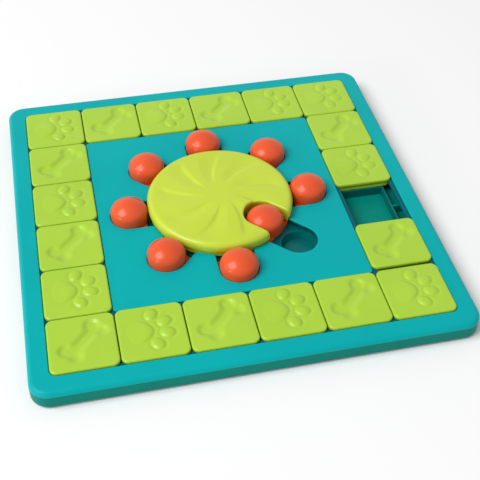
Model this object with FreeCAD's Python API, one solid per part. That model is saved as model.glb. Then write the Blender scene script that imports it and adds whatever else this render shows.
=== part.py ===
import math
import os

import FreeCAD
import Part

V = FreeCAD.Vector
UP = V(0, 0, 1)

# Driving sizes of the board, in millimetres; +Z is up and the board stands on z = 0
tile_pitch = 52.0
tiles_per_side = 6
frame_width = 15.5
board_corner = 14.5
board_edge_round = 4.0
board_height = 17.0
foot_height = 1.2
tray_floor = 2.0
side_wall = 2.4
parting_height = 12.5
base_edge_round = 2.0

# Sliding tiles
tile_gap = 0.8
surround_gap = 0.5
tile_corner = 5.5
tile_rise = 1.5
tile_edge_round = 1.1
neck_corner = 3.0
lip_reach = 3.5
lip_drop = 1.7
lip_thickness = 1.8
glide_thickness = 1.9
glide_inset = 0.3
running_gap = 0.3
gap_cell = (5, 2)
slid_tile = 9
slid_by = 2.5
bone_tiles = (2, 4, 7, 9, 11, 13, 15, 17, 19)

# Raised paws and recessed bones on the keys
relief_height = 1.2
pad_edge_round = 0.5
paw_pad_round = 5.0
pad_corners = ((-18.5, 13.5), (-18.5, -12.5), (6.5, 0.5))
toe_places = ((2.6, 17.0, 62), (11.4, 7.6, 25), (12.2, -4.2, -12), (4.2, -13.4, -50))
toe_length = 10.5
toe_width = 7.5
bone_length = 30.0
bone_shaft = 9.2
bone_lobe = 5.8
bone_spread = 5.0
bone_lean = 45.8
bone_shift = 1.2

# Treat compartments below the tiles
bin_outer_reach = 16.2
bin_ledge_gap = 0.3
bin_wall = 1.6
web_thickness = 1.6
rail_gap = 0.2

# Centre panel and the deck under it
plate_thickness = 3.0
plate_edge_round = 0.7
skirt_wall = 2.5
deck_overhang = 0.6
deck_thickness = 2.0
deck_wall = 1.8
track_depth = 6.0
panel_corner = 3.0
ledge_corner = 4.0
island_round = 3.0
slot_end_margin = 10.0

# Knobs and wells
knob_count = 8
knob_radius = 15.6
knob_rise = 15.2
knob_straight = 4.0
knob_shoulder = 8.5
knob_shell = 1.8
knob_slot_gap = 0.4
ear_side_reach = 2.9
ear_length = 27.0
ear_corner = 5.0
ear_thickness = 2.2
ear_gap = 0.2
well_top_radius = 14.2
well_floor_radius = 11.6
well_wall = 1.6
well_floor = 1.4
cup_gap = 0.15
loose_knob = 7
knob_tuck = 4.0

# Turning disc, its hub and its bush
disc_gap = 0.3
disc_rise = 12.0
disc_crown = 1.5
disc_shoulder = 5.0
disc_shell = 2.2
rim_overhang = 1.4
rim_clearance = 2.0
disc_skirt_gap = 1.0
opening_gap = 0.6
notch_taper = 1.6
cut_margin = 1.0
hub_radius = 12.0
hub_rise = 4.0
bush_radius = 8.0
bush_wall = 1.8
bush_flange = 1.0
bush_flange_reach = 3.0
stub_gap = 0.1
disc_boss_radius = 10.5
washer_thickness = 1.2
washer_gap = 0.4

# Fasteners and feet
screw_shank = 1.4
screw_head = 2.9
screw_head_height = 2.0
screw_slot_width = 0.8
screw_slot_depth = 0.9
screw_tip_gap = 1.0
screw_hole_gap = 0.15
screw_seat_gap = 0.4
post_radius = 3.3
boss_radius = 4.8
boss_top = 9.0
hole_roof = 1.0
frame_post_inset = 10.0
panel_post_inset = 15.9
foot_radius = 7.0
foot_inset = 26.0

# Levels worked out from the sizes above
floor_top = foot_height + tray_floor
plate_under = board_height - plate_thickness
lip_top = board_height - lip_drop
lip_bottom = lip_top - lip_thickness
cap_under = lip_top + running_gap
cap_top = board_height + tile_rise
glide_top = lip_bottom - running_gap
glide_bottom = glide_top - glide_thickness
bin_top = glide_bottom - running_gap
track_top = board_height - track_depth
deck_under = track_top - deck_thickness
ear_bottom = track_top + ear_gap
ear_top = ear_bottom + ear_thickness
knob_top = board_height + knob_rise
skirt_bottom = ear_top + disc_skirt_gap
disc_top = board_height + disc_rise
rim_under = board_height + rim_clearance
disc_roof = disc_top - disc_shell
well_bottom = floor_top + well_floor
hub_top = plate_under + hub_rise
bush_bottom = deck_under
boss_bottom = hub_top + bush_flange + running_gap
screw_seat = floor_top + screw_seat_gap

# Plan sizes worked out from the sizes above
ring_centre = (tiles_per_side - 1) / 2 * tile_pitch
cap_side = tile_pitch - tile_gap
opening_reach = cap_side / 2 + surround_gap
panel_half = ring_centre - opening_reach
frame_opening_half = ring_centre + opening_reach
board_half = frame_opening_half + frame_width
neck_side = 2 * (opening_reach - lip_reach - running_gap)
glide_side = cap_side - 2 * glide_inset
inner_wall_half = board_half - side_wall
bin_outer_half = ring_centre + bin_outer_reach
bin_inner_half = panel_half + lip_reach + bin_ledge_gap
deck_half = panel_half + deck_overhang
slot_half = knob_radius + knob_slot_gap
knob_orbit = panel_half - slot_end_margin - slot_half
disc_radius = knob_orbit - knob_radius - disc_gap
skirt_radius = disc_radius - rim_overhang
disc_opening = skirt_radius + opening_gap
knob_in_orbit = disc_opening - knob_radius - knob_slot_gap
notch_orbit = knob_in_orbit - knob_tuck
stub_radius = bush_radius - bush_wall - stub_gap
frame_post_place = board_half - frame_post_inset
panel_post_place = panel_half - panel_post_inset


def rounded_square(half, corner, bottom, top):
    """A square prism about the Z axis with rounded upright edges."""
    block = Part.makeBox(2 * half, 2 * half, top - bottom, V(-half, -half, bottom))
    return block.makeFillet(corner, upright_edges(block, bottom, top))


def upright_edges(shape, bottom, top):
    """The straight upright edges that run from one level to another."""
    found = []
    for edge in shape.Edges:
        low, high = edge.BoundBox.ZMin, edge.BoundBox.ZMax
        flat = edge.BoundBox.XLength + edge.BoundBox.YLength
        if flat < 1e-4 and abs(low - bottom) < 1e-4 and abs(high - top) < 1e-4:
            found.append(edge)
    return found


def edges_at(shape, level):
    """The edges that lie wholly at one level."""
    found = []
    for edge in shape.Edges:
        box = edge.BoundBox
        if abs(box.ZMin - level) < 1e-4 and abs(box.ZMax - level) < 1e-4:
            found.append(edge)
    return found


def edges_within(shape, level, reach):
    """The edges at one level that stay within a square about the centre."""
    found = []
    for edge in edges_at(shape, level):
        box = edge.BoundBox
        if max(-box.XMin, box.XMax, -box.YMin, box.YMax) < reach:
            found.append(edge)
    return found


def square_tube(outer, inner, corner, bottom, top):
    """A square ring about the Z axis."""
    hole = Part.makeBox(2 * inner, 2 * inner, top - bottom, V(-inner, -inner, bottom))
    return rounded_square(outer, corner, bottom, top).cut(hole)


def upright(radius, bottom, top, x=0.0, y=0.0):
    return Part.makeCylinder(radius, top - bottom, V(x, y, bottom))


def four_corners(place):
    return [(sx * place, sy * place) for sx in (-1, 1) for sy in (-1, 1)]


def four_sides(place):
    return [(place, 0.0), (0.0, place), (-place, 0.0), (0.0, -place)]


def joined(first, others):
    return first.fuse(others).removeSplitter()


def ring_cells():
    """Centres of the ring's places, clockwise from the far left corner."""
    last = tiles_per_side - 1
    steps = [(i, last) for i in range(tiles_per_side)]
    steps += [(last, last - i) for i in range(1, tiles_per_side)]
    steps += [(last - i, 0) for i in range(1, tiles_per_side)]
    steps += [(0, i) for i in range(1, last)]
    return steps


def cell_centre(cell):
    return tuple(step * tile_pitch - ring_centre for step in cell)


# Tray, frame and panel

def bin_rail(turn, reach, closed):
    """A straight run of compartments: two long walls, the dividers and, if closed, its ends."""
    height = bin_top - floor_top
    inner_reach = min(reach, bin_inner_half)
    depth = bin_outer_half - bin_inner_half
    first = Part.makeBox(2 * reach, bin_wall, height, V(-reach, bin_outer_half, floor_top))
    inner = V(-inner_reach, bin_inner_half - bin_wall, floor_top)
    walls = [Part.makeBox(2 * inner_reach, bin_wall, height, inner)]
    for i in range(1, tiles_per_side):
        place = i * tile_pitch - ring_centre - tile_pitch / 2 - bin_wall / 2
        walls.append(Part.makeBox(bin_wall, depth, height, V(place, bin_inner_half, floor_top)))
    if closed:
        length = depth + 2 * bin_wall
        for place in (-reach, reach - bin_wall):
            end = V(place, bin_inner_half - bin_wall, floor_top)
            walls.append(Part.makeBox(bin_wall, length, height, end))
    rail = joined(first, walls)
    rail.rotate(V(0, 0, 0), UP, turn)
    return rail


def bin_rails():
    """Four rails of compartment walls on the tray floor, between the webs."""
    long_reach = bin_outer_half + bin_wall
    short_reach = bin_inner_half - bin_wall - rail_gap
    rails = [bin_rail(turn, long_reach, True) for turn in (0, 180)]
    rails += [bin_rail(turn, short_reach, False) for turn in (90, 270)]
    return Part.makeCompound(rails)


def trench_webs():
    """Short webs on the side wall that hold the rails in place, one at each compartment."""
    webs = []
    start = bin_outer_half + bin_wall + rail_gap
    length = inner_wall_half - start + side_wall / 2
    height = bin_top - foot_height
    for i in range(tiles_per_side):
        place = i * tile_pitch - ring_centre - web_thickness / 2
        for low in (start, -start - length):
            webs.append(Part.makeBox(length, web_thickness, height, V(low, place, foot_height)))
            webs.append(Part.makeBox(web_thickness, length, height, V(place, low, foot_height)))
    return webs


def screw_places():
    frame = four_corners(frame_post_place) + four_sides(frame_post_place)
    return frame, four_corners(panel_post_place)


def base_tray():
    """Floor, side wall, webs and screw bosses in one moulding."""
    block = rounded_square(board_half, board_corner, foot_height, parting_height)
    block = block.makeFillet(base_edge_round, edges_at(block, foot_height))
    cavity = rounded_square(inner_wall_half, board_corner - side_wall, floor_top, parting_height)
    tray = block.cut(cavity)
    frame_screws, panel_screws = screw_places()
    bosses = [upright(boss_radius, foot_height, boss_top, x, y) for x, y in frame_screws + panel_screws]
    tray = joined(tray, trench_webs() + bosses)
    for x, y in frame_screws + panel_screws:
        hole = upright(screw_shank + screw_hole_gap, foot_height, boss_top, x, y)
        seat = upright(screw_head + screw_seat_gap, foot_height, screw_seat + screw_head_height, x, y)
        tray = tray.cut(hole.fuse(seat))
    return tray


def screw_post(x, y, bottom, top):
    return upright(post_radius, bottom, top, x, y)


def post_hole(x, y, bottom):
    return upright(screw_shank + screw_hole_gap, bottom, board_height - hole_roof, x, y)


def outer_frame():
    """Top frame with its outer rim, the ledge that carries the tiles and its screw posts."""
    plate = rounded_square(board_half, board_corner, parting_height, board_height)
    plate = plate.makeFillet(board_edge_round, edges_at(plate, board_height))
    cavity = rounded_square(inner_wall_half, board_corner - side_wall, parting_height, plate_under)
    window_corner = tile_corner + surround_gap
    window = rounded_square(frame_opening_half, window_corner, lip_top, board_height)
    lip_half = frame_opening_half - lip_reach
    lip_window = rounded_square(lip_half, window_corner - lip_reach, parting_height, lip_top)
    frame = plate.cut([cavity, window, lip_window])
    ledge = square_tube(frame_opening_half + surround_gap, lip_half, window_corner, lip_bottom, lip_top)
    frame_screws, _ = screw_places()
    posts = [screw_post(x, y, boss_top, plate_under) for x, y in frame_screws]
    frame = joined(frame, [ledge] + posts)
    window_edges = edges_within(frame, board_height, frame_opening_half + surround_gap)
    frame = frame.makeFillet(plate_edge_round, window_edges)
    return frame.cut([post_hole(x, y, boss_top) for x, y in frame_screws])


def slot_prism(angle, half, orbit, bottom, top):
    """A straight slot from the centre outwards, with a round end at the given orbit."""
    run = Part.makeBox(orbit, 2 * half, top - bottom, V(0, -half, bottom))
    end = upright(half, bottom, top, orbit, 0.0)
    slot = run.fuse(end)
    slot.rotate(V(0, 0, 0), UP, angle)
    return slot


def knob_angle(index):
    return index * 360.0 / knob_count


def island_corners(plate):
    """The upright edges where the slots meet the round opening."""
    corners = []
    for edge in upright_edges(plate, plate_under, board_height):
        reach = math.hypot(edge.BoundBox.XMin, edge.BoundBox.YMin)
        if abs(reach - disc_opening) < 0.01:
            corners.append(edge)
    return corners


def centre_panel():
    """Flat panel with the round opening, the knob slots and the inner tile ledge."""
    plate = rounded_square(panel_half, panel_corner, plate_under, board_height)
    cuts = [upright(disc_opening, plate_under, board_height)]
    for index in range(knob_count):
        cuts.append(slot_prism(knob_angle(index), slot_half, knob_orbit, plate_under, board_height))
    plate = plate.cut(cuts)
    plate = plate.makeFillet(island_round, island_corners(plate))
    plate = plate.makeFillet(plate_edge_round, edges_at(plate, board_height))
    lip_half = panel_half + lip_reach
    ledge = square_tube(lip_half, panel_half - skirt_wall, ledge_corner, lip_bottom, lip_top)
    skirt = square_tube(panel_half, panel_half - skirt_wall, panel_corner, track_top, plate_under)
    _, panel_screws = screw_places()
    posts = [screw_post(x, y, track_top, plate_under) for x, y in panel_screws]
    panel = joined(plate, [ledge, skirt] + posts)
    return panel.cut([post_hole(x, y, track_top) for x, y in panel_screws])


def well_cone(grow, bottom, top, x, y):
    """A tapered round well, or its outside when grown by the wall."""
    slope = (well_top_radius - well_floor_radius) / (track_top - well_bottom)
    low = well_floor_radius + grow + slope * (bottom - well_bottom)
    return Part.makeCone(low, well_top_radius + grow, top - bottom, V(x, y, bottom))


def well_places():
    turns = [math.radians(knob_angle(index)) for index in range(knob_count)]
    return [(knob_orbit * math.cos(turn), knob_orbit * math.sin(turn)) for turn in turns]


def treat_cups():
    """Eight tapered cups that stand on the tray floor, flush with the track."""
    cups = []
    for x, y in well_places():
        cup = well_cone(well_wall, floor_top, track_top, x, y)
        cups.append(cup.cut(well_cone(0.0, well_bottom, track_top, x, y)))
    return Part.makeCompound(cups)


def knob_deck():
    """Track plate under the panel, with round seats for the cups, the hub and an edge wall."""
    plate = rounded_square(deck_half, panel_corner, deck_under, track_top)
    wall = square_tube(deck_half, deck_half - deck_wall, panel_corner, floor_top, deck_under)
    _, panel_screws = screw_places()
    parts = [wall, upright(hub_radius, floor_top, hub_top)]
    hollows = [upright(bush_radius, floor_top, hub_top)]
    for x, y in well_places():
        hollows.append(well_cone(well_wall + cup_gap, deck_under, track_top, x, y))
    for x, y in panel_screws:
        hollows.append(upright(screw_shank + screw_hole_gap, deck_under, track_top, x, y))
    return joined(plate, parts).cut(hollows)


# Tiles

def paw_pads():
    """Raised paw print: a rounded three-sided pad with four toes fanned round it."""
    corners = [V(x, y, cap_top) for x, y in pad_corners]
    pad = Part.Face(Part.makePolygon(corners + corners[:1])).extrude(V(0, 0, relief_height))
    top = cap_top + relief_height
    pads = [pad.makeFillet(paw_pad_round, upright_edges(pad, cap_top, top))]
    for x, y, lean in toe_places:
        reach = toe_length - toe_width
        toe = Part.makeBox(reach, toe_width, relief_height, V(-reach / 2, -toe_width / 2, cap_top))
        ends = [upright(toe_width / 2, cap_top, top, side * reach / 2) for side in (-1, 1)]
        toe = joined(toe, ends)
        toe.rotate(V(0, 0, 0), UP, lean)
        toe.translate(V(x, y, 0))
        pads.append(toe)
    return [pad.makeFillet(pad_edge_round, edges_at(pad, top)) for pad in pads]


def bone_dish():
    """Recessed bone: a shaft with two round lobes at each end, laid along the diagonal."""
    low = cap_top - relief_height
    half = bone_length / 2
    shaft = Part.makeBox(bone_length, bone_shaft, relief_height, V(-half, -bone_shaft / 2, low))
    lobes = [upright(bone_lobe, low, cap_top, x, y) for x in (-half, half) for y in (-bone_spread, bone_spread)]
    bone = joined(shaft, lobes)
    bone.rotate(V(0, 0, 0), UP, bone_lean)
    bone.translate(V(bone_shift, bone_shift, 0))
    return bone


def tile_cap(x, y, motif):
    """Visible square key with the neck that passes between the two ledges."""
    cap = rounded_square(cap_side / 2, tile_corner, cap_under, cap_top)
    cap = cap.makeFillet(tile_edge_round, edges_at(cap, cap_top))
    neck = rounded_square(neck_side / 2, neck_corner, glide_top, cap_under)
    tile = joined(cap, [neck])
    if motif == "paw":
        tile = joined(tile, paw_pads())
    else:
        tile = tile.cut(bone_dish())
    tile.translate(V(x, y, 0))
    return tile


def tile_glide(x, y):
    """Flange that runs under the ledges and holds the tile down."""
    glide = rounded_square(glide_side / 2, tile_corner, glide_bottom, glide_top)
    glide.translate(V(x, y, 0))
    return glide


# Knobs

def turned(edges):
    return Part.Face(Part.Wire(edges)).revolve(V(0, 0, 0), UP, 360)


def dome(radius, shoulder, top, bottom):
    """Solid knob shape: an upright side, a round shoulder and a flatter round crown."""
    straight_top = board_height + knob_straight
    across, rise = radius - shoulder, top - straight_top
    crown = (across ** 2 + rise ** 2 - shoulder ** 2) / (2 * (rise - shoulder))
    lean = math.atan2(across, crown - rise)
    low_centre, high_centre = V(across, 0, straight_top), V(0, 0, top - crown)
    join = high_centre + crown * tilted(lean)
    shoulder_middle = low_centre + shoulder * tilted((lean + math.pi / 2) / 2)
    crown_middle = high_centre + crown * tilted(lean / 2)
    side, peak = V(radius, 0, straight_top), V(0, 0, top)
    edges = [
        Part.makeLine(V(0, 0, bottom), V(radius, 0, bottom)),
        Part.makeLine(V(radius, 0, bottom), side),
        Part.Arc(side, shoulder_middle, join).toShape(),
        Part.Arc(join, crown_middle, peak).toShape(),
        Part.makeLine(peak, V(0, 0, bottom)),
    ]
    return turned(edges)


def tilted(lean):
    """Unit vector that leans out from straight up by an angle."""
    return V(math.sin(lean), 0, math.cos(lean))


def knob(index):
    """Hollow domed knob with two ears that hold it under the panel."""
    ear_half = knob_radius + ear_side_reach
    ears = Part.makeBox(ear_length, 2 * ear_half, ear_thickness, V(-ear_length / 2, -ear_half, ear_bottom))
    ears = ears.makeFillet(ear_corner, upright_edges(ears, ear_bottom, ear_top))
    body = dome(knob_radius, knob_shoulder, knob_top, ear_top)
    inner = knob_radius - knob_shell
    hollow = dome(inner, knob_shoulder - knob_shell, knob_top - knob_shell, ear_top)
    throat = upright(min(inner, ear_length / 2 - knob_shell), ear_bottom, ear_top)
    piece = joined(body.cut(hollow), [ears.cut(throat)])
    orbit = knob_in_orbit if index == loose_knob else knob_orbit
    piece.translate(V(orbit, 0, 0))
    piece.rotate(V(0, 0, 0), UP, knob_angle(index))
    return piece


# Disc and hub

def crowned_edges(radius, top, low):
    """Right half of a crowned top: an upright side from a level, a round shoulder and the crown."""
    across, level = radius - disc_shoulder, top - disc_crown
    crown = (across ** 2 + disc_crown ** 2) / (2 * disc_crown)
    half_drop = crown - math.sqrt(crown ** 2 - (across / 2) ** 2)
    rim = V(radius, 0, level - disc_shoulder)
    shoulder_middle = V(across, 0, level - disc_shoulder) + disc_shoulder * tilted(math.pi / 4)
    return [
        Part.makeLine(V(radius, 0, low), rim),
        Part.Arc(rim, shoulder_middle, V(across, 0, level)).toShape(),
        Part.Arc(V(across, 0, level), V(across / 2, 0, top - half_drop), V(0, 0, top)).toShape(),
    ]


def disc_body():
    """Solid disc: a skirt in the round opening, a rim that overhangs it, and the crowned top."""
    foot, step = V(skirt_radius, 0, skirt_bottom), V(skirt_radius, 0, rim_under)
    centre = V(skirt_radius, 0, rim_under + rim_overhang)
    edges = [
        Part.makeLine(V(0, 0, skirt_bottom), foot),
        Part.makeLine(foot, step),
        Part.Arc(step, centre + rim_overhang * tilted(3 * math.pi / 4), centre + V(rim_overhang, 0, 0)).toShape(),
    ]
    edges += crowned_edges(disc_radius, disc_top, rim_under + rim_overhang)
    edges.append(Part.makeLine(V(0, 0, disc_top), V(0, 0, skirt_bottom)))
    return turned(edges)


def disc_hollow():
    """The room inside the disc, one wall in from its skirt and its top."""
    low = skirt_bottom - cut_margin
    radius, top = skirt_radius - disc_shell, disc_top - disc_shell
    edges = [Part.makeLine(V(0, 0, low), V(radius, 0, low))]
    edges += crowned_edges(radius, top, low)
    edges.append(Part.makeLine(V(0, 0, top), V(0, 0, low)))
    return turned(edges)


def notch_shape(grow):
    """Round-ended bay for a knob: as wide as its slot below, narrower at the top like the dome."""
    low = slot_half + grow
    high = low - notch_taper
    bend = board_height + knob_straight
    heights = [skirt_bottom - cut_margin, bend, disc_top + cut_margin]
    reach = disc_radius + cut_margin - notch_orbit
    side = [V(0, low, heights[0]), V(0, low, heights[1]), V(0, high, heights[2])]
    points = side + [V(0, -p.y, p.z) for p in reversed(side)]
    section = Part.Face(Part.makePolygon(points + points[:1]))
    run = section.extrude(V(reach, 0, 0))
    half = [V(0, 0, heights[0])] + side + [V(0, 0, heights[2])]
    end = Part.Face(Part.makePolygon(half + half[:1])).revolve(V(0, 0, 0), UP, 360)
    bay = run.fuse(end)
    bay.translate(V(notch_orbit, 0, 0))
    bay.rotate(V(0, 0, 0), UP, knob_angle(loose_knob))
    return bay


def spinner_disc():
    """Shell disc with the knob bay, its wall, and the stub shaft under its centre."""
    shell = disc_body().cut(disc_hollow())
    wall = notch_shape(disc_shell).common(disc_body())
    boss = upright(disc_boss_radius, boss_bottom, disc_roof)
    stub = upright(stub_radius, bush_bottom - running_gap, disc_roof)
    disc = joined(shell, [wall, boss, stub]).cut(notch_shape(0.0))
    bore = upright(screw_shank + screw_hole_gap, bush_bottom - running_gap, disc_roof - 2 * disc_shell)
    return disc.cut(bore)


def hub_bush():
    """Plain bearing pressed into the hub, with a flange that carries the disc."""
    sleeve = upright(bush_radius, bush_bottom, hub_top)
    flange = upright(bush_radius + bush_flange_reach, hub_top, hub_top + bush_flange)
    bore = upright(bush_radius - bush_wall, bush_bottom, hub_top + bush_flange)
    return joined(sleeve, [flange]).cut(bore)


def spinner_washer():
    top = bush_bottom - running_gap
    ring = upright(bush_radius - washer_gap, top - washer_thickness, top)
    return ring.cut(upright(screw_shank + screw_hole_gap, top - washer_thickness, top))


def screw(seat, tip, x=0.0, y=0.0):
    """Round-headed screw whose head is under its seat and whose shank points up."""
    head = upright(screw_head, seat - screw_head_height, seat, x, y)
    head = head.makeFillet(screw_head_height / 3, edges_at(head, seat - screw_head_height))
    shank = upright(screw_shank, seat, tip, x, y)
    corner = V(x - screw_head, y - screw_slot_width / 2, seat - screw_head_height)
    slot = Part.makeBox(2 * screw_head, screw_slot_width, screw_slot_depth, corner)
    return joined(head, [shank]).cut(slot)


def spinner_screw():
    seat = bush_bottom - running_gap - washer_thickness
    return screw(seat, disc_roof - 3 * disc_shell)


def housing_screws(places):
    seat = screw_seat + screw_head_height
    tip = board_height - hole_roof - screw_tip_gap
    return Part.makeCompound([screw(seat, tip, x, y) for x, y in places])


def rubber_feet():
    """Eight round pads under the tray, clear of the screws."""
    corner = board_half - foot_inset
    places = four_corners(corner) + four_sides(corner)
    pads = []
    for x, y in places:
        pad = upright(foot_radius, 0.0, foot_height, x, y)
        pads.append(pad.makeFillet(foot_height / 2, edges_at(pad, 0.0)))
    return Part.makeCompound(pads)


def save(name, shape):
    shape.exportStep(os.path.join("parts", name + ".step"))


def save_tiles():
    number = 0
    for cell in ring_cells():
        if cell == gap_cell:
            continue
        number += 1
        x, y = cell_centre(cell)
        if number == slid_tile:
            y += slid_by
        motif = "bone" if number in bone_tiles else "paw"
        save("tile_%02d_cap" % number, tile_cap(x, y, motif))
        save("tile_%02d_glide" % number, tile_glide(x, y))


def save_all():
    os.makedirs("parts", exist_ok=True)
    frame_screws, panel_screws = screw_places()
    save("base_tray", base_tray())
    save("bin_rails", bin_rails())
    save("outer_frame", outer_frame())
    save("centre_panel", centre_panel())
    save("knob_deck", knob_deck())
    save("treat_cups", treat_cups())
    save("hub_bush", hub_bush())
    save("frame_screws", housing_screws(frame_screws))
    save("panel_screws", housing_screws(panel_screws))
    save("rubber_feet", rubber_feet())
    save("spinner_disc", spinner_disc())
    save("spinner_washer", spinner_washer())
    save("spinner_screw", spinner_screw())
    names = ("e", "ne", "n", "nw", "w", "sw", "s", "se")
    for index, name in enumerate(names):
        save("knob_" + name, knob(index))
    save_tiles()


save_all()
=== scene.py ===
import math

import bmesh
import bpy
from mathutils import Matrix, Vector
from mathutils.geometry import delaunay_2d_cdt


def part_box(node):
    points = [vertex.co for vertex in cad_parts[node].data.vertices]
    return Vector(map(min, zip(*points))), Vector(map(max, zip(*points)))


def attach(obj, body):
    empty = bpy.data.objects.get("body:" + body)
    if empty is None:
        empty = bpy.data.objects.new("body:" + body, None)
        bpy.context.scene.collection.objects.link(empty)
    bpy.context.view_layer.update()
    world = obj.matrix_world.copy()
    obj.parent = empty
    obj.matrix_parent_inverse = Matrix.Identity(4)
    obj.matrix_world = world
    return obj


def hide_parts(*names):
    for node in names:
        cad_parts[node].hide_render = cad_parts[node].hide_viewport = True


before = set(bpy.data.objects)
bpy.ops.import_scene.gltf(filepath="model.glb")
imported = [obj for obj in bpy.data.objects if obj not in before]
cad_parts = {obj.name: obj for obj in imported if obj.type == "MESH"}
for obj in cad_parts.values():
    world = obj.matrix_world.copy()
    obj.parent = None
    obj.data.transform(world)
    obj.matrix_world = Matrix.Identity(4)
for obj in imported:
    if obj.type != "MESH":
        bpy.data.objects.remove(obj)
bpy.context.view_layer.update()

MM = 0.001

# Camera, in line with the square grid of the keys in the photograph
view_azimuth = math.radians(-13.438)
view_elevation = math.radians(44.476)
view_roll = math.radians(1.386)
view_distance = 0.759
view_target = Vector((0.0069, -0.0487, 0.0185))
view_lens = 69.34

# Sizes of the keys, in millimetres
key_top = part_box("tile_02_cap")[1][2] / MM
key_under = 15.6
key_neck_bottom = 13.2
key_half = 25.6
key_corner = 5.5
key_edge_round = 1.3
key_foot_chamfer = 0.3
neck_half = 22.2
neck_corner = 3.0
key_cells = 64
relief_height = 1.2
pad_dip = 0.35
key_edge_turns = (18, 36, 54, 72, 90)
toe_radii = (5.9, 4.9)
toe_places = (((1.2, 16.2), 62), ((10.4, 8.2), 25), ((11.4, -3.0), -12), ((2.8, -12.6), -50))
main_pad_x, main_pad_y = -8.4, 0.5
main_pad_half_length = 9.8
main_pad_half_width = 10.8
main_pad_narrowing = 3.0
bone_depth = 1.7
bone_lean = 45.8
bone_offset = 1.2
bone_shaft_half = 5.6
bone_shaft_reach = 13.0
bone_lobe_radius = 6.0
bone_lobe_reach = 15.0
bone_lobe_apart = 5.0
bone_blend = 1.6
bone_steep_wall = 3.4
bone_gentle_wall = 1.8

# Places of the ledges under the keys, which get painted shade
opening_half = 156.5
painted_shade_top = 15.9

# Sizes of the knobs
knob_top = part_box("knob_e")[1][2] / MM
knob_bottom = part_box("knob_e")[0][2] / MM
knob_radius = 15.6
knob_shoulder = 8.5
knob_straight_top = 21.0
ear_top = 13.4
ear_reach = 18.5
ear_half_length = 13.5
ear_corner = 5.0
ear_cells = 10
knob_sides = 72
knob_crown_steps = 14
knob_shoulder_steps = 16

# Sizes of the turning disc
disc_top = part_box("spinner_disc")[1][2] / MM
disc_radius = 62.0
disc_crown = 1.5
disc_shoulder = 5.0
rim_overhang = 1.4
rim_under = 19.0
disc_skirt_bottom = 14.4
disc_sides = 240
disc_full_net_radius = 30
disc_ring_step = 1.25
notch_orbit = 41.2
notch_low_half = 16.0
notch_high_half = 14.4
notch_bend = 21.0
notch_edge_round = 1.6
notch_net_shares = (0.08, 0.25, 0.5, 0.75, 1.0, 1.4)
notch_side_steps = 30
notch_end_steps = 60
wall_step = 0.1
petal_count = 9
petal_depth = 1.1
petal_start = 23.4
petal_sweep = 0.5
petal_slope = (0.62, 0.08)
petal_crease = 0.07
petal_inner_fade = (10.0, 30.0)
petal_outer_fade = (57.0, 45.0)
boss_radius = 10.5
boss_bottom = 19.3
stub_radius = 6.1
stub_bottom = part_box("spinner_disc")[0][2] / MM
stub_chamfer = 0.4

# Stage and light
sharp_angle = math.radians(38)
floor_reach = 3.0
floor_white = (0.95, 0.95, 0.95, 1.0)
plain_white = (1.0, 1.0, 1.0, 1.0)
soft_strength = 0.44

directions = {"e": 0, "ne": 45, "n": 90, "nw": 135, "w": 180, "sw": 225, "s": 270, "se": 315}
bone_keys = (2, 4, 7, 9, 11, 13, 15, 17, 19)
key_count = 19


def smooth_step(low, high, value):
    """Rises smoothly from 0 to 1 between two values."""
    share = min(1.0, max(0.0, (value - low) / (high - low)))
    return share * share * (3 - 2 * share)


def swatch(red, green, blue):
    """Linear colour of a paint swatch given in 0 to 255 steps."""
    steps = [value / 255 for value in (red, green, blue)]
    return tuple(s / 12.92 if s < 0.04045 else ((s + 0.055) / 1.055) ** 2.4 for s in steps) + (1.0,)


# Node group helpers

def new_group(name, inputs, outputs):
    """An empty shader node group with named sockets, and its two end nodes."""
    tree = bpy.data.node_groups.new(name, "ShaderNodeTree")
    for label, kind in inputs:
        tree.interface.new_socket(label, in_out="INPUT", socket_type=kind)
    for label, kind in outputs:
        tree.interface.new_socket(label, in_out="OUTPUT", socket_type=kind)
    return tree, tree.nodes.new("NodeGroupInput"), tree.nodes.new("NodeGroupOutput")


def math_node(tree, operation, first, second=0.0):
    """A Math node whose inputs are numbers or sockets, and its result."""
    node = tree.nodes.new("ShaderNodeMath")
    node.operation = operation
    for socket, value in zip(node.inputs, (first, second)):
        if isinstance(value, (int, float)):
            socket.default_value = value
        else:
            tree.links.new(value, socket)
    return node.outputs[0]


def noise(tree, vector, scale, detail=2.0):
    """Cloudy noise at a number of clouds to the metre."""
    node = tree.nodes.new("ShaderNodeTexNoise")
    node.inputs["Scale"].default_value = scale
    node.inputs["Detail"].default_value = detail
    tree.links.new(vector, node.inputs["Vector"])
    return node.outputs["Fac"]


def spread(tree, value, low, high):
    """Stretches the part of a value between low and high to 0 to 1."""
    node = tree.nodes.new("ShaderNodeMapRange")
    node.interpolation_type = "SMOOTHSTEP"
    node.inputs["From Min"].default_value = low
    node.inputs["From Max"].default_value = high
    tree.links.new(value, node.inputs["Value"])
    return node.outputs["Result"]


def stretched(tree, vector, scale, turn):
    """Coordinates stretched into streaks, turned about the upright axis."""
    node = tree.nodes.new("ShaderNodeMapping")
    node.inputs["Scale"].default_value = scale
    node.inputs["Rotation"].default_value = (0.0, 0.0, turn)
    tree.links.new(vector, node.inputs["Vector"])
    return node.outputs["Vector"]


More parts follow.
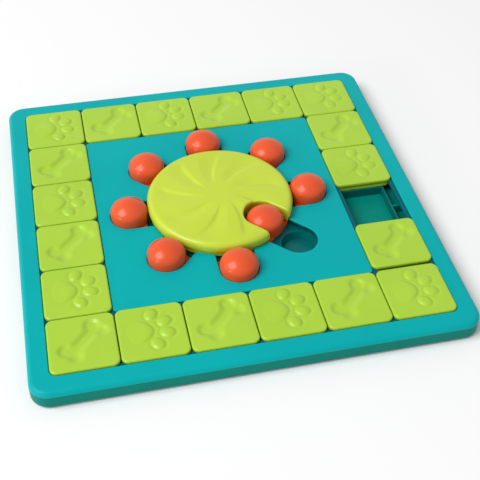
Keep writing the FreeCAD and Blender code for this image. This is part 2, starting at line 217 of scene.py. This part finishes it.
def moulded_skin_group():
    """Slight flow clouds in the colour and gloss of a moulding, and its fine tool texture."""
    tree, given, result = new_group(
        "Moulded skin",
        [("Colour", "NodeSocketColor"), ("Cloud Colour", "NodeSocketColor"),
         ("Clouds", "NodeSocketFloat"), ("Gloss Roughness", "NodeSocketFloat"),
         ("Gloss Drift", "NodeSocketFloat")],
        [("Colour", "NodeSocketColor"), ("Roughness", "NodeSocketFloat"), ("Grain", "NodeSocketFloat")])
    place = tree.nodes.new("ShaderNodeTexCoord").outputs["Object"]
    clouds = spread(tree, noise(tree, place, 14.0, 3.0), 0.3, 0.75)
    amount = math_node(tree, "MULTIPLY", clouds, given.outputs["Clouds"])
    mix = tree.nodes.new("ShaderNodeMix")
    mix.data_type = "RGBA"
    tree.links.new(amount, mix.inputs["Factor"])
    tree.links.new(given.outputs["Colour"], mix.inputs["A"])
    tree.links.new(given.outputs["Cloud Colour"], mix.inputs["B"])
    tree.links.new(mix.outputs["Result"], result.inputs["Colour"])
    drift = math_node(tree, "SUBTRACT", noise(tree, place, 60.0, 4.0), 0.5)
    drift = math_node(tree, "MULTIPLY", drift, given.outputs["Gloss Drift"])
    gloss = math_node(tree, "ADD", given.outputs["Gloss Roughness"], drift)
    tree.links.new(gloss, result.inputs["Roughness"])
    fine = noise(tree, place, 2600.0)
    soft = noise(tree, place, 420.0)
    tree.links.new(math_node(tree, "ADD", fine, soft), result.inputs["Grain"])
    return tree


def paw_scuffs_group():
    """Hair scratches that claws and muzzles leave, mostly on faces that point up."""
    tree, given, result = new_group(
        "Claw scuffs",
        [("Roughness", "NodeSocketFloat"), ("Scuffs", "NodeSocketFloat"), ("Grain", "NodeSocketFloat")],
        [("Roughness", "NodeSocketFloat"), ("Height", "NodeSocketFloat")])
    place = tree.nodes.new("ShaderNodeTexCoord").outputs["Object"]
    facing = tree.nodes.new("ShaderNodeSeparateXYZ")
    tree.links.new(tree.nodes.new("ShaderNodeNewGeometry").outputs["Normal"], facing.inputs[0])
    upward = spread(tree, facing.outputs["Z"], 0.3, 0.9)
    marks = None
    for scale, turn in (((1500.0, 22.0, 60.0), 0.5), ((1300.0, 16.0, 60.0), 2.1)):
        streak = spread(tree, noise(tree, stretched(tree, place, scale, turn), 1.0, 1.0), 0.70, 0.78)
        marks = streak if marks is None else math_node(tree, "MAXIMUM", marks, streak)
    patches = spread(tree, noise(tree, place, 35.0), 0.42, 0.65)
    marks = math_node(tree, "MULTIPLY", math_node(tree, "MULTIPLY", marks, patches), upward)
    marks = math_node(tree, "MULTIPLY", marks, given.outputs["Scuffs"])
    tree.links.new(math_node(tree, "ADD", given.outputs["Roughness"], marks), result.inputs["Roughness"])
    tree.links.new(math_node(tree, "SUBTRACT", given.outputs["Grain"], marks), result.inputs["Height"])
    return tree


def painted_ledge_shade_group():
    """Painted shade: a darker, dull colour on the ledges that lie under the keys, where their shadow
    falls.
    """
    tree, given, result = new_group(
        "Painted ledge shade", [("Colour", "NodeSocketColor"), ("Ledge Colour", "NodeSocketColor")],
        [("Colour", "NodeSocketColor")])
    place = tree.nodes.new("ShaderNodeSeparateXYZ")
    tree.links.new(tree.nodes.new("ShaderNodeTexCoord").outputs["Object"], place.inputs[0])
    across = math_node(tree, "ABSOLUTE", place.outputs["X"])
    along = math_node(tree, "ABSOLUTE", place.outputs["Y"])
    reach = math_node(tree, "MAXIMUM", across, along)
    # mask of the ledges inside the opening and below the keys, where the painted shade goes
    inside = math_node(tree, "LESS_THAN", reach, opening_half * MM)
    below = math_node(tree, "LESS_THAN", place.outputs["Z"], painted_shade_top * MM)
    mix = tree.nodes.new("ShaderNodeMix")
    mix.data_type = "RGBA"
    tree.links.new(math_node(tree, "MULTIPLY", inside, below), mix.inputs["Factor"])
    tree.links.new(given.outputs["Colour"], mix.inputs["A"])
    tree.links.new(given.outputs["Ledge Colour"], mix.inputs["B"])
    tree.links.new(mix.outputs["Result"], result.inputs["Colour"])
    return tree


moulded_skin = moulded_skin_group()
claw_scuffs = paw_scuffs_group()
painted_ledge_shade = painted_ledge_shade_group()


def new_material(name):
    """A material with its Principled shader and node tree."""
    material = bpy.data.materials.new(name)
    material.use_nodes = True
    return material, material.node_tree, material.node_tree.nodes["Principled BSDF"]


def placed_group(tree, group, **values):
    """A node group placed in a material with its own values."""
    node = tree.nodes.new("ShaderNodeGroup")
    node.node_tree = group
    for label, value in values.items():
        node.inputs[label.replace("_", " ")].default_value = value
    return node


def bump(tree, shader, height, distance):
    """Feeds a height into a shader's normal."""
    node = tree.nodes.new("ShaderNodeBump")
    node.inputs["Distance"].default_value = distance
    tree.links.new(height, node.inputs["Height"])
    tree.links.new(node.outputs["Normal"], shader.inputs["Normal"])


def moulded_plastic(name, colour, cloud, roughness, scuffs=0.15, grain=0.00002, clouds=0.6,
                    specular=0.16):
    """Glossy moulded plastic with flow clouds, tool grain and hair scratches."""
    material, tree, shader = new_material(name)
    skin = placed_group(tree, moulded_skin, Colour=colour, Cloud_Colour=cloud, Clouds=clouds,
                        Gloss_Roughness=roughness, Gloss_Drift=0.10)
    wear = placed_group(tree, claw_scuffs, Scuffs=scuffs)
    tree.links.new(skin.outputs["Colour"], shader.inputs["Base Color"])
    tree.links.new(skin.outputs["Roughness"], wear.inputs["Roughness"])
    tree.links.new(skin.outputs["Grain"], wear.inputs["Grain"])
    tree.links.new(wear.outputs["Roughness"], shader.inputs["Roughness"])
    bump(tree, shader, wear.outputs["Height"], grain)
    shader.inputs["IOR"].default_value = 1.5
    shader.inputs["Specular IOR Level"].default_value = specular
    return material


def paint_shade_on_ledges(material, painted_shade_colour):
    """Paints shade on the ledges under the keys in a moulding's finish."""
    tree = material.node_tree
    shader = tree.nodes["Principled BSDF"]
    shade = placed_group(tree, painted_ledge_shade, Ledge_Colour=painted_shade_colour)
    tree.links.new(shader.inputs["Base Color"].links[0].from_socket, shade.inputs["Colour"])
    tree.links.new(shade.outputs["Colour"], shader.inputs["Base Color"])


def zinc_steel():
    """Zinc plated screw steel with a faint mottled spangle."""
    material, tree, shader = new_material("zinc_plated_steel")
    skin = placed_group(tree, moulded_skin, Colour=swatch(196, 198, 202),
                        Cloud_Colour=swatch(158, 160, 166), Clouds=1.0, Gloss_Roughness=0.32,
                        Gloss_Drift=0.35)
    tree.links.new(skin.outputs["Colour"], shader.inputs["Base Color"])
    tree.links.new(skin.outputs["Roughness"], shader.inputs["Roughness"])
    bump(tree, shader, skin.outputs["Grain"], 0.00003)
    shader.inputs["Metallic"].default_value = 1.0
    return material


turquoise_plastic = moulded_plastic(
    "turquoise_plastic", swatch(0, 172, 174), swatch(0, 162, 168), 0.36, specular=0.1)
# painted shade: the ledges under the keys are darkened where the keys shade them
paint_shade_on_ledges(turquoise_plastic, swatch(0, 96, 104))
teal_plastic = moulded_plastic(
    "teal_plastic", swatch(0, 134, 120), swatch(0, 122, 110), 0.42, scuffs=0.05, specular=0.08)
# Deep teal for the bin rails, knob deck and treat cups: their own teal, darkened further with painted
# shade because they sit down in the recesses
cup_plastic = moulded_plastic(
    "deep_teal_painted_shade_plastic", swatch(0, 108, 106), swatch(0, 96, 96), 0.28, scuffs=0.05, specular=0.14)
lime_plastic = moulded_plastic(
    "lime_plastic", swatch(170, 208, 52), swatch(160, 200, 44), 0.3, specular=0.45)
disc_plastic = moulded_plastic(
    "yellow_lime_plastic", swatch(196, 216, 56), swatch(186, 208, 46), 0.3, specular=0.45)
orange_plastic = moulded_plastic(
    "orange_plastic", swatch(232, 88, 42), swatch(222, 76, 34), 0.24, specular=0.3)
nylon_plastic = moulded_plastic(
    "pale_nylon", swatch(226, 226, 214), swatch(214, 214, 200), 0.5, scuffs=0.0)
pad_rubber = moulded_plastic(
    "pad_rubber", swatch(52, 54, 54), swatch(64, 66, 66), 0.78, scuffs=0.1, grain=0.00012, clouds=0.8)
screw_steel = zinc_steel()


# Mesh helpers

def rounded_square_point(u, v, half, corner):
    """Point of a rounded square for a place u, v in a plain square of -1 to 1."""
    x, y = u * half, v * half
    over_x, over_y = abs(x) - (half - corner), abs(y) - (half - corner)
    if over_x > 0 and over_y > 0:
        pulled_x = over_x * math.sqrt(1 - over_y ** 2 / (2 * corner ** 2))
        pulled_y = over_y * math.sqrt(1 - over_x ** 2 / (2 * corner ** 2))
        x = math.copysign(half - corner + pulled_x, x)
        y = math.copysign(half - corner + pulled_y, y)
    return x, y


def square_outline(cells):
    """Places u, v round the edge of a plain square of -1 to 1, with a number of cells to a side."""
    steps = [2 * i / cells - 1 for i in range(cells)]
    outline = [(u, -1.0) for u in steps] + [(1.0, v) for v in steps]
    return outline + [(-u, 1.0) for u in steps] + [(-1.0, -v) for v in steps]


def save_piece(bm, name, place, turn, material):
    """Turns a mesh drawn in millimetres into a piece at its place."""
    bmesh.ops.transform(bm, verts=bm.verts, matrix=Matrix.Rotation(math.radians(turn), 4, "Z"))
    bmesh.ops.transform(bm, verts=bm.verts, matrix=Matrix.Scale(MM, 4))
    bmesh.ops.translate(bm, verts=bm.verts, vec=(place[0], place[1], 0.0))
    bmesh.ops.recalc_face_normals(bm, faces=bm.faces)
    mesh = bpy.data.meshes.new(name)
    bm.to_mesh(mesh)
    bm.free()
    for face in mesh.polygons:
        face.use_smooth = True
    mesh.set_sharp_from_angle(angle=sharp_angle)
    mesh.materials.append(material)
    piece = bpy.data.objects.new(name, mesh)
    bpy.context.scene.collection.objects.link(piece)
    return piece


def plan_centre(node):
    """Centre of a CAD node's box, seen from above, in metres."""
    low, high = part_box(node)
    return (low[0] + high[0]) / 2, (low[1] + high[1]) / 2


def stacked_loops(bm, loops):
    """Joins closed loops of vertices, each as long as the next, with bands of faces."""
    for upper, lower in zip(loops, loops[1:]):
        for i, start in enumerate(upper):
            j = (i + 1) % len(upper)
            bm.faces.new((start, upper[j], lower[j], lower[i]))


# Keys

def toe_swell(x, y, place, lean):
    """Height of one domed toe: 1 at its middle, and a slight dip round its foot."""
    turn = math.radians(lean)
    along = (x - place[0]) * math.cos(turn) + (y - place[1]) * math.sin(turn)
    across = -(x - place[0]) * math.sin(turn) + (y - place[1]) * math.cos(turn)
    away = math.hypot(along / toe_radii[0], across / toe_radii[1])
    return max(0.0, 1 - away ** 2) ** 0.7 - pad_dip * math.exp(-((away - 1.1) / 0.22) ** 2)


def main_pad_swell(x, y):
    """Height of the large pad: steep where it faces the toes, and fading away to the left."""
    along = (x - main_pad_x) / main_pad_half_length
    half_width = main_pad_half_width - main_pad_narrowing * along
    away = math.hypot(along, (y - main_pad_y) / half_width)
    fade = 0.3 + 0.7 * smooth_step(-17.0, -1.0, x)
    dip = pad_dip * math.exp(-((away - 1.08) / 0.14) ** 2) * smooth_step(-14.0, 0.0, x)
    return max(0.0, 1 - away ** 2.6) ** 0.6 * fade - dip


def paw_relief(x, y):
    """Raised paw print: one large pad with four toes fanned round its right side."""
    swells = [main_pad_swell(x, y)]
    swells += [toe_swell(x, y, place, lean) for place, lean in toe_places]
    return relief_height * (max(swells) if max(swells) > 0.02 else min(swells))


def bone_relief(x, y):
    """Recessed bone: a shaft with two round lobes at each end, laid along the diagonal."""
    turn = math.radians(bone_lean)
    x, y = x - bone_offset, y - bone_offset
    along = x * math.cos(turn) + y * math.sin(turn)
    across = -x * math.sin(turn) + y * math.cos(turn)
    shaft = bone_shaft_half - math.hypot(max(0.0, abs(along) - bone_shaft_reach), across)
    lobe = bone_lobe_radius - math.hypot(abs(along) - bone_lobe_reach, abs(across) - bone_lobe_apart)
    inside = bone_blend * math.log(math.exp(shaft / bone_blend) + math.exp(lobe / bone_blend))
    wall = bone_steep_wall + bone_gentle_wall * smooth_step(2.0, -2.0, across)
    return -bone_depth * smooth_step(-1.2, wall, inside)


def key_cap(number):
    """One square key: relief on the top, a rounded rim, and the neck under it."""
    relief = bone_relief if number in bone_keys else paw_relief
    bm = bmesh.new()
    steps = [2 * i / key_cells - 1 for i in range(key_cells + 1)]
    rows = []
    for v in steps:
        row = []
        for u in steps:
            x, y = rounded_square_point(u, v, key_half - key_edge_round, key_corner - key_edge_round)
            row.append(bm.verts.new((x, y, key_top + relief(x, y))))
        rows.append(row)
    for i in range(key_cells):
        for j in range(key_cells):
            bm.faces.new((rows[i][j], rows[i][j + 1], rows[i + 1][j + 1], rows[i + 1][j]))
    outline = square_outline(key_cells)
    rim = rows[0][:-1] + [row[-1] for row in rows[:-1]]
    rim += rows[-1][:0:-1] + [row[0] for row in rows[:0:-1]]
    loops = [rim]
    for half, corner, level in key_side_levels():
        points = [rounded_square_point(u, v, half, corner) for u, v in outline]
        loops.append([bm.verts.new((x, y, level)) for x, y in points])
    stacked_loops(bm, loops)
    bm.faces.new(loops[-1])
    node = "tile_%02d_cap" % number
    piece = save_piece(bm, "key_%02d" % number, plan_centre(node), 0.0, lime_plastic)
    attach(piece, "tile_%02d" % number)
    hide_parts(node)


def key_side_levels():
    """Half width, corner radius and height of each loop from the rounded rim down to the neck."""
    levels = []
    inner_half, inner_corner = key_half - key_edge_round, key_corner - key_edge_round
    for degrees in key_edge_turns:
        turn = math.radians(degrees)
        out = key_edge_round * math.sin(turn)
        drop = key_edge_round * (1 - math.cos(turn))
        levels.append((inner_half + out, inner_corner + out, key_top - drop))
    levels.append((key_half, key_corner, key_under + key_foot_chamfer))
    levels.append((key_half - key_foot_chamfer, key_corner - key_foot_chamfer, key_under))
    levels.append((neck_half, neck_corner, key_under))
    levels.append((neck_half, neck_corner, key_neck_bottom))
    return levels


# Knobs

def turned_outline(bm, outline, sides):
    """A turned shape from an outline of radius and height pairs, top first, closed at both ends."""
    loops = []
    for radius, level in outline:
        turns = [2 * math.pi * i / sides for i in range(sides)]
        loops.append([bm.verts.new((radius * math.cos(t), radius * math.sin(t), level)) for t in turns])
    stacked_loops(bm, loops)
    bm.faces.new(loops[0])
    bm.faces.new(reversed(loops[-1]))


def knob_outline():
    """Half outline of the dome: a flat round crown, a round shoulder and an upright side."""
    across, rise = knob_radius - knob_shoulder, knob_top - knob_straight_top
    crown = (across ** 2 + rise ** 2 - knob_shoulder ** 2) / (2 * (rise - knob_shoulder))
    lean = math.atan2(across, crown - rise)
    points = []
    for i in range(1, knob_crown_steps + 1):
        turn = lean * i / knob_crown_steps
        points.append((crown * math.sin(turn), knob_top - crown + crown * math.cos(turn)))
    for i in range(1, knob_shoulder_steps + 1):
        turn = lean + (math.pi / 2 - lean) * i / knob_shoulder_steps
        out, up = knob_shoulder * math.sin(turn), knob_shoulder * math.cos(turn)
        points.append((across + out, knob_straight_top + up))
    points.append((knob_radius, ear_top))
    return points


def knob_ears(bm):
    """The flat ears that hold a knob under the panel."""
    stretch = ear_half_length / ear_reach
    points = [rounded_square_point(u, v, ear_reach, ear_corner) for u, v in square_outline(ear_cells)]
    loops = []
    for level in (ear_top, knob_bottom):
        loops.append([bm.verts.new((x * stretch, y, level)) for x, y in points])
    stacked_loops(bm, loops)
    bm.faces.new(loops[0])
    bm.faces.new(reversed(loops[1]))


def knob(name):
    """One domed knob with its ears."""
    bm = bmesh.new()
    turned_outline(bm, knob_outline(), knob_sides)
    knob_ears(bm)
    node = "knob_" + name
    piece = save_piece(bm, "dome_" + name, plan_centre(node), directions[name], orange_plastic)
    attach(piece, node)
    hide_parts(node)


# Turning disc

def disc_height(radius):
    """Height of the plain disc: a slight crown, with a round shoulder at its rim."""
    across = disc_radius - disc_shoulder
    crown = (across ** 2 + disc_crown ** 2) / (2 * disc_crown)
    if radius < across:
        return disc_top - crown + math.sqrt(crown ** 2 - radius ** 2)
    over = min(disc_shoulder, radius - across)
    return disc_top - disc_crown - disc_shoulder + math.sqrt(disc_shoulder ** 2 - over ** 2)


def notch_half(level):
    """Half width of the notch at a height: it narrows towards the top like the knob in it."""
    share = smooth_step(notch_bend, disc_top, level)
    return notch_low_half + (notch_high_half - notch_low_half) * share


def notch_edge_half(radius):
    """Half width of the notch at the edge of the disc's top, at a distance from the disc's centre."""
    return notch_half(disc_height(radius) - notch_edge_round)


def notch_room(x, y):
    """Distance from a place on the disc to the edge of the notch, which opens along +X."""
    half = notch_edge_half(math.hypot(x, y))
    if x > notch_orbit:
        return abs(y) - half
    return math.hypot(x - notch_orbit, y) - half


def petal_groove(radius, turn):
    """Depth of the swirl: each petal has a curved crease on one side and fades out on the other."""
    turn = turn + math.radians(directions["se"] - petal_start) + petal_sweep * radius / disc_radius
    share = (petal_count * turn / (2 * math.pi)) % 1.0
    profile = smooth_step(*petal_slope, share) * smooth_step(-petal_crease, petal_crease, share)
    if share > 0.5:
        profile = smooth_step(1 - petal_crease, 1 + petal_crease, share)
    reach = smooth_step(*petal_inner_fade, radius) * smooth_step(*petal_outer_fade, radius)
    return petal_depth * reach * profile


def disc_surface(x, y):
    """Height of the disc's top at a place, with petals and the rounded edge of the notch."""
    radius = math.hypot(x, y)
    height = disc_height(radius) - petal_groove(radius, math.atan2(y, x))
    room = notch_room(x, y)
    if room < notch_edge_round:
        inward = notch_edge_round - max(0.0, room)
        height -= notch_edge_round - math.sqrt(max(0.0, notch_edge_round ** 2 - inward ** 2))
    return height


def notch_length(rim_radius):
    """Length of the notch's straight sides, out to a rim of the given radius."""
    return math.sqrt(rim_radius ** 2 - notch_low_half ** 2) - notch_orbit


def notch_line(offset):
    """Places along the notch at a distance from its edge, from one lip to the other."""
    half = notch_high_half
    points = []
    reach = notch_length(disc_radius)
    for i in range(notch_side_steps):
        points.append((notch_orbit + reach * (1 - i / notch_side_steps), 1.0))
    for i in range(notch_end_steps + 1):
        points.append((math.pi / 2 + math.pi * i / notch_end_steps, None))
    for i in range(1, notch_side_steps + 1):
        points.append((notch_orbit + reach * i / notch_side_steps, -1.0))
    placed = []
    for first, side in points:
        x, y = first, 0.0
        for _ in range(4):
            if side is None:
                x = notch_orbit + (half + offset) * math.cos(first)
                y = (half + offset) * math.sin(first)
            else:
                y = side * (half + offset)
            half = notch_edge_half(min(disc_radius, math.hypot(x, y)))
        placed.append((x, y))
    return placed


def disc_plan():
    """Outline of the disc with its notch, and the places inside it, seen from above."""
    edge = notch_line(0.0)
    start, end = (math.atan2(edge[i][1], edge[i][0]) for i in (0, -1))
    sweep = 2 * math.pi - start + end
    count = int(disc_sides * sweep / (2 * math.pi))
    turns = [end - sweep * i / count for i in range(1, count)]
    outline = edge + [(disc_radius * math.cos(t), disc_radius * math.sin(t)) for t in turns]
    inner = []
    for share in notch_net_shares:
        for x, y in notch_line(share * notch_edge_round):
            if math.hypot(x, y) < disc_radius - 0.02:
                inner.append((x, y))
    ring_count = int((disc_radius - disc_shoulder) / disc_ring_step)
    radii = [disc_ring_step * i for i in range(1, ring_count + 1)]
    radii += [disc_radius - disc_shoulder * (1 - math.sin(math.radians(a))) for a in range(6, 90, 9)]
    for radius in radii:
        sides = max(12, int(disc_sides * min(1.0, radius / disc_full_net_radius)))
        for i in range(sides):
            turn = 2 * math.pi * i / sides
            x, y = radius * math.cos(turn), radius * math.sin(turn)
            if notch_room(x, y) > 1.7 * notch_edge_round:
                inner.append((x, y))
    return outline, inner + [(0.0, 0.0)]


def disc_top_faces(bm):
    """The swirl top as a fine net of triangles; returns the vertices round its edge in order."""
    outline, inner = disc_plan()
    places = [Vector(point) for point in outline + inner]
    loop = list(range(len(outline)))
    flat, _, faces, _, _, _ = delaunay_2d_cdt(places, [], [loop], 1, 1e-5)
    verts = [bm.verts.new((p.x, p.y, disc_surface(p.x, p.y))) for p in flat]
    for face in faces:
        bm.faces.new([verts[i] for i in face])
    return verts[:len(outline)]


def wall_place(x, y, level):
    """Place on the disc's wall below a point of the top's edge: the notch's side or the rim."""
    under = min(rim_overhang, max(0.0, rim_under + rim_overhang - level))
    reach = disc_radius - rim_overhang + math.sqrt(rim_overhang ** 2 - under ** 2)
    if notch_room(x, y) > 0.05:
        return x * reach / disc_radius, y * reach / disc_radius, level
    widen = notch_half(level) - notch_edge_half(math.hypot(x, y))
    if x <= notch_orbit:
        away = Vector((x - notch_orbit, y)).normalized() * widen
        return x + away.x, y + away.y, level
    shorten = notch_length(reach) / notch_length(disc_radius)
    return notch_orbit + (x - notch_orbit) * shorten, y + math.copysign(widen, y), level


def disc_wall(bm, edge):
    """The rim and the wall of the notch, from the top's edge down to the skirt."""
    levels = [notch_bend, rim_under + rim_overhang]
    levels += [rim_under + rim_overhang * (1 - math.sin(math.radians(a))) for a in (22, 45, 67, 90)]
    loops = [edge]
    for level in levels + [disc_skirt_bottom]:
        places = [wall_place(v.co.x, v.co.y, min(level, v.co.z - wall_step)) for v in edge]
        loops.append([bm.verts.new(place) for place in places])
    stacked_loops(bm, loops)
    bm.faces.new(loops[-1])


def turning_disc():
    """The notched disc with its swirl top, its boss and its stub shaft."""
    bm = bmesh.new()
    disc_wall(bm, disc_top_faces(bm))
    stub = [(boss_radius, boss_bottom + 2.0), (boss_radius, boss_bottom), (stub_radius, boss_bottom),
            (stub_radius, stub_bottom + stub_chamfer), (stub_radius - stub_chamfer, stub_bottom)]
    turned_outline(bm, stub, knob_sides)
    piece = save_piece(bm, "swirl_disc", (0.0, 0.0), directions["se"], disc_plastic)
    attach(piece, "spinner")
    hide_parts("spinner_disc")


# Carried-over mouldings and fittings

def finish_nodes():
    """Gives each carried-over node its finish."""
    finishes = {
        "base_tray": teal_plastic, "bin_rails": cup_plastic, "knob_deck": cup_plastic,
        "treat_cups": cup_plastic, "outer_frame": turquoise_plastic, "centre_panel": turquoise_plastic,
        "hub_bush": nylon_plastic, "frame_screws": screw_steel, "panel_screws": screw_steel,
        "rubber_feet": pad_rubber, "spinner_washer": screw_steel, "spinner_screw": screw_steel,
    }
    for number in range(1, key_count + 1):
        finishes["tile_%02d_glide" % number] = lime_plastic
    for name, material in finishes.items():
        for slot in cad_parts[name].material_slots:
            slot.material = material


# Stage, light and camera

def board_floor():
    """Plain white floor that keeps the soft shadow of the board."""
    bm = bmesh.new()
    places = ((-1, -1), (1, -1), (1, 1), (-1, 1))
    bm.faces.new([bm.verts.new((x * floor_reach, y * floor_reach, 0.0)) for x, y in places])
    mesh = bpy.data.meshes.new("studio_floor")
    bm.to_mesh(mesh)
    bm.free()
    floor = bpy.data.objects.new("studio_floor", mesh)
    bpy.context.scene.collection.objects.link(floor)
    material, _, shader = new_material("studio_white")
    shader.inputs["Base Color"].default_value = floor_white
    shader.inputs["Roughness"].default_value = 0.9
    shader.inputs["Specular IOR Level"].default_value = 0.0
    mesh.materials.append(material)


def studio_world():
    """Even soft light all round; the camera and reflections see plain white."""
    world = bpy.data.worlds.new("studio_world")
    world.use_nodes = True
    tree = world.node_tree
    output = tree.nodes["World Output"]
    soft = tree.nodes["Background"]
    soft.inputs["Color"].default_value = plain_white
    soft.inputs["Strength"].default_value = soft_strength
    white = tree.nodes.new("ShaderNodeBackground")
    white.inputs["Color"].default_value = plain_white
    white.inputs["Strength"].default_value = 1.0
    path = tree.nodes.new("ShaderNodeLightPath")
    seen = math_node(tree, "MAXIMUM", path.outputs["Is Camera Ray"], path.outputs["Is Transmission Ray"])
    seen = math_node(tree, "MAXIMUM", seen, path.outputs["Is Glossy Ray"])
    mix = tree.nodes.new("ShaderNodeMixShader")
    tree.links.new(seen, mix.inputs["Fac"])
    tree.links.new(soft.outputs[0], mix.inputs[1])
    tree.links.new(white.outputs[0], mix.inputs[2])
    tree.links.new(mix.outputs[0], output.inputs["Surface"])
    bpy.context.scene.world = world


def around(azimuth, elevation, distance):
    """A place seen from the board's centre; azimuth 0 is the near side."""
    turn, rise = math.radians(azimuth), math.radians(elevation)
    out = distance * math.cos(rise)
    return Vector((out * math.sin(turn), -out * math.cos(turn), distance * math.sin(rise)))


def soft_lamp(name, azimuth, elevation, distance, size, power):
    """A square soft box aimed at the board."""
    data = bpy.data.lights.new(name, "AREA")
    data.shape = "SQUARE"
    data.size = size
    data.energy = power
    lamp = bpy.data.objects.new(name, data)
    place = around(azimuth, elevation, distance)
    lamp.matrix_world = Matrix.Translation(place) @ place.to_track_quat("Z", "Y").to_matrix().to_4x4()
    bpy.context.scene.collection.objects.link(lamp)


def photo_camera():
    """The camera at the photograph's viewing angle."""
    data = bpy.data.cameras.new("photo_camera")
    data.sensor_width = 36.0
    data.lens = view_lens
    data.clip_start = 0.01
    turn = Matrix.Rotation(view_azimuth, 4, "Z") @ Matrix.Rotation(math.pi / 2 - view_elevation, 4, "X")
    turn = turn @ Matrix.Rotation(view_roll, 4, "Z")
    camera = bpy.data.objects.new("photo_camera", data)
    camera.matrix_world = Matrix.Translation(view_target + turn @ Vector((0, 0, view_distance))) @ turn
    bpy.context.scene.collection.objects.link(camera)
    bpy.context.scene.camera = camera


finish_nodes()
for number in range(1, key_count + 1):
    key_cap(number)
for name in directions:
    knob(name)
turning_disc()
board_floor()
studio_world()
soft_lamp("key_light", azimuth=-80.0, elevation=52.0, distance=5.0, size=3.0, power=200.0)
soft_lamp("low_light", azimuth=-62.0, elevation=12.0, distance=4.0, size=0.4, power=16.0)
photo_camera()
bpy.context.scene.view_settings.view_transform = "Standard"
